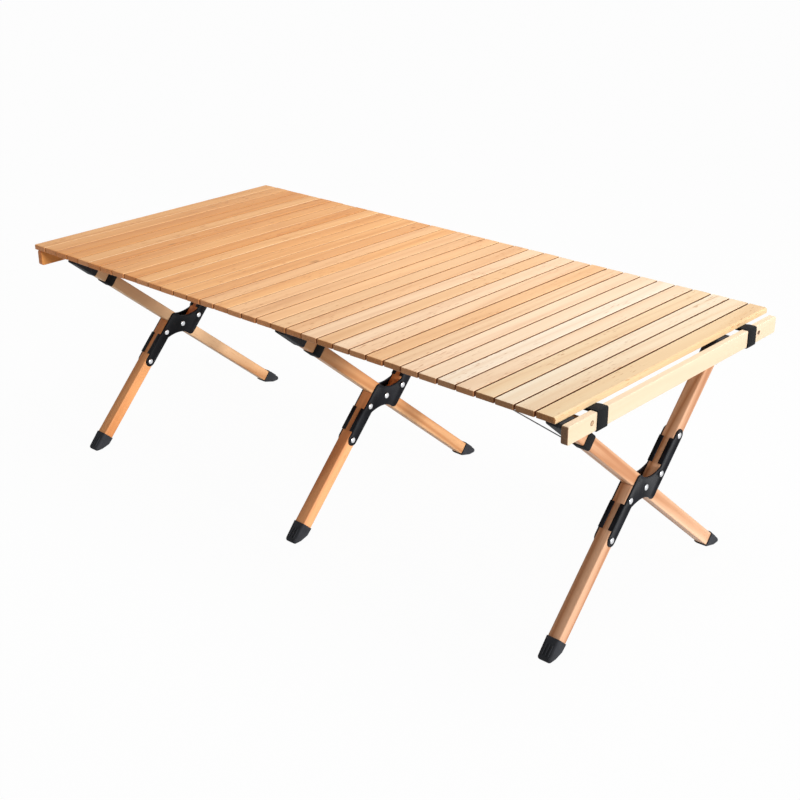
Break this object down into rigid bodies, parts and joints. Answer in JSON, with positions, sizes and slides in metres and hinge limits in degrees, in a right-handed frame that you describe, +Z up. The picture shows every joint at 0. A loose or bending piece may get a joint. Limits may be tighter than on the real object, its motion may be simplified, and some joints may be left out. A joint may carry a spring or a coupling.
{
  "type": "roll top camp table",
  "caption": "Low folding camp table with a roll-up top of wooden slats on webbing straps, end rails, and X-shaped wooden leg frames with steel hub plates and rubber boots.",
  "frame": {"origin": "on the ground under the middle of the table's box", "axes": "+X along the length of the top towards the end with the outer rail, -Y towards the near side, +Z up"},
  "size_m": [1.2264, 0.6, 0.4],
  "materials": {
    "slat_wood": "satin lacquered beech",
    "pale_wood": "satin lacquered pale beech",
    "leg_wood": "satin lacquered beech",
    "peg_wood": "turned beech",
    "boot_rubber": "moulded matt",
    "plate_steel": "black powder coat",
    "rivet_steel": "bright",
    "webbing": "woven polyester",
    "cord": "braided"
  },
  "bodies": {
    "right_frame": {"right_lower_leg": "leg_wood", "right_upper_leg": "leg_wood", "right_split_leg_caps": "boot_rubber", "right_hub_plates": "plate_steel", "right_rivets": "rivet_steel"},
    "middle_frame": {"middle_lower_leg": "leg_wood", "middle_upper_leg": "leg_wood", "middle_split_leg_caps": "boot_rubber", "middle_hub_plates": "plate_steel", "middle_rivets": "rivet_steel"},
    "left_frame": {"left_lower_leg": "leg_wood", "left_upper_leg": "leg_wood", "left_split_leg_caps": "boot_rubber", "left_hub_plates": "plate_steel", "left_rivets": "rivet_steel"},
    "right_cross": {"right_cross_leg": "leg_wood", "right_cross_leg_caps": "boot_rubber", "right_keeper_band": "webbing"},
    "middle_cross": {"middle_cross_leg": "leg_wood", "middle_cross_leg_caps": "boot_rubber", "middle_keeper_band": "webbing"},
    "left_cross": {"left_cross_leg": "leg_wood", "left_cross_leg_caps": "boot_rubber", "left_keeper_band": "webbing"},
    "top_base": {"base_slats": "pale_wood", "right_rail": "pale_wood", "rail_peg": "peg_wood", "near_strap": "webbing", "far_strap": "webbing", "corner_cord": "cord"},
    "top_slat_14": {"slat_14": "slat_wood"},
    "top_slat_13": {"slat_13": "slat_wood"},
    "top_slat_12": {"slat_12": "slat_wood"},
    "top_slat_11": {"slat_11": "slat_wood"},
    "top_slat_10": {"slat_10": "slat_wood"},
    "top_slat_9": {"slat_9": "slat_wood"},
    "top_slat_8": {"slat_8": "slat_wood"},
    "top_slat_7": {"slat_7": "slat_wood"},
    "top_slat_6": {"slat_6": "slat_wood"},
    "top_slat_5": {"slat_5": "slat_wood"},
    "top_slat_4": {"slat_4": "slat_wood"},
    "top_slat_3": {"slat_3": "slat_wood"},
    "top_slat_2": {"slat_2": "slat_wood"},
    "top_slat_1": {"slat_1": "slat_wood", "left_rail": "slat_wood"}
  },
  "joints": [
    {"name": "middle_frame_shift", "type": "slide", "parent": "right_frame", "child": "middle_frame", "axis": [1, 0, 0], "range_m": [0, 0.4]},
    {"name": "left_frame_shift", "type": "slide", "parent": "right_frame", "child": "left_frame", "axis": [1, 0, 0], "range_m": [0, 0.5]},
    {"name": "top_lift", "type": "slide", "parent": "right_frame", "child": "top_base", "axis": [0, 0, 1], "range_m": [0, 0.7]},
    {"name": "right_fold", "type": "hinge", "parent": "right_frame", "child": "right_cross", "pos_m": [0.5854, -0.055, 0.20396], "axis": [-1, 0, 0], "range_deg": [0, 90]},
    {"name": "middle_fold", "type": "hinge", "parent": "middle_frame", "child": "middle_cross", "pos_m": [0.0508, -0.055, 0.20396], "axis": [-1, 0, 0], "range_deg": [0, 90]},
    {"name": "left_fold", "type": "hinge", "parent": "left_frame", "child": "left_cross", "pos_m": [-0.5037, -0.055, 0.20396], "axis": [-1, 0, 0], "range_deg": [0, 90]},
    {"name": "roll_14", "type": "hinge", "parent": "top_base", "child": "top_slat_14", "pos_m": [-0.1377, 0, 0.4], "axis": [0, 1, 0], "range_deg": [0, 20.32], "deforming": ["near_strap", "far_strap"]},
    {"name": "roll_13", "type": "hinge", "parent": "top_slat_14", "child": "top_slat_13", "pos_m": [-0.17201, 0, 0.4], "axis": [0, 1, 0], "range_deg": [0, 20.54]},
    {"name": "roll_12", "type": "hinge", "parent": "top_slat_13", "child": "top_slat_12", "pos_m": [-0.20627, 0, 0.4], "axis": [0, 1, 0], "range_deg": [0, 20.76]},
    {"name": "roll_11", "type": "hinge", "parent": "top_slat_12", "child": "top_slat_11", "pos_m": [-0.24048, 0, 0.4], "axis": [0, 1, 0], "range_deg": [0, 21.05]},
    {"name": "roll_10", "type": "hinge", "parent": "top_slat_11", "child": "top_slat_10", "pos_m": [-0.27464, 0, 0.4], "axis": [0, 1, 0], "range_deg": [0, 21.42]},
    {"name": "roll_9", "type": "hinge", "parent": "top_slat_10", "child": "top_slat_9", "pos_m": [-0.30875, 0, 0.4], "axis": [0, 1, 0], "range_deg": [0, 21.89]},
    {"name": "roll_8", "type": "hinge", "parent": "top_slat_9", "child": "top_slat_8", "pos_m": [-0.34281, 0, 0.4], "axis": [0, 1, 0], "range_deg": [0, 22.5]},
    {"name": "roll_7", "type": "hinge", "parent": "top_slat_8", "child": "top_slat_7", "pos_m": [-0.37683, 0, 0.4], "axis": [0, 1, 0], "range_deg": [0, 23.27]},
    {"name": "roll_6", "type": "hinge", "parent": "top_slat_7", "child": "top_slat_6", "pos_m": [-0.41079, 0, 0.4], "axis": [0, 1, 0], "range_deg": [0, 24.27]},
    {"name": "roll_5", "type": "hinge", "parent": "top_slat_6", "child": "top_slat_5", "pos_m": [-0.44471, 0, 0.4], "axis": [0, 1, 0], "range_deg": [0, 25.56]},
    {"name": "roll_4", "type": "hinge", "parent": "top_slat_5", "child": "top_slat_4", "pos_m": [-0.47858, 0, 0.4], "axis": [0, 1, 0], "range_deg": [0, 27.2]},
    {"name": "roll_3", "type": "hinge", "parent": "top_slat_4", "child": "top_slat_3", "pos_m": [-0.5124, 0, 0.4], "axis": [0, 1, 0], "range_deg": [0, 29.32]},
    {"name": "roll_2", "type": "hinge", "parent": "top_slat_3", "child": "top_slat_2", "pos_m": [-0.54618, 0, 0.4], "axis": [0, 1, 0], "range_deg": [0, 32.03]},
    {"name": "roll_1", "type": "hinge", "parent": "top_slat_2", "child": "top_slat_1", "pos_m": [-0.5799, 0, 0.4], "axis": [0, 1, 0], "range_deg": [0, 35.52]}
  ],
  "couplings": [
    {"joint": "right_fold", "follows": "top_lift", "rad_per_m": 2.244},
    {"joint": "middle_fold", "follows": "top_lift", "rad_per_m": 2.244},
    {"joint": "left_fold", "follows": "top_lift", "rad_per_m": 2.244},
    {"joint": "roll_13", "follows": "roll_14", "ratio": 1.0085},
    {"joint": "roll_12", "follows": "roll_14", "ratio": 1.0195},
    {"joint": "roll_11", "follows": "roll_14", "ratio": 1.0336},
    {"joint": "roll_10", "follows": "roll_14", "ratio": 1.0517},
    {"joint": "roll_9", "follows": "roll_14", "ratio": 1.0749},
    {"joint": "roll_8", "follows": "roll_14", "ratio": 1.1048},
    {"joint": "roll_7", "follows": "roll_14", "ratio": 1.143},
    {"joint": "roll_6", "follows": "roll_14", "ratio": 1.1922},
    {"joint": "roll_5", "follows": "roll_14", "ratio": 1.2554},
    {"joint": "roll_4", "follows": "roll_14", "ratio": 1.3364},
    {"joint": "roll_3", "follows": "roll_14", "ratio": 1.4405},
    {"joint": "roll_2", "follows": "roll_14", "ratio": 1.5742},
    {"joint": "roll_1", "follows": "roll_14", "ratio": 1.7458}
  ]
}
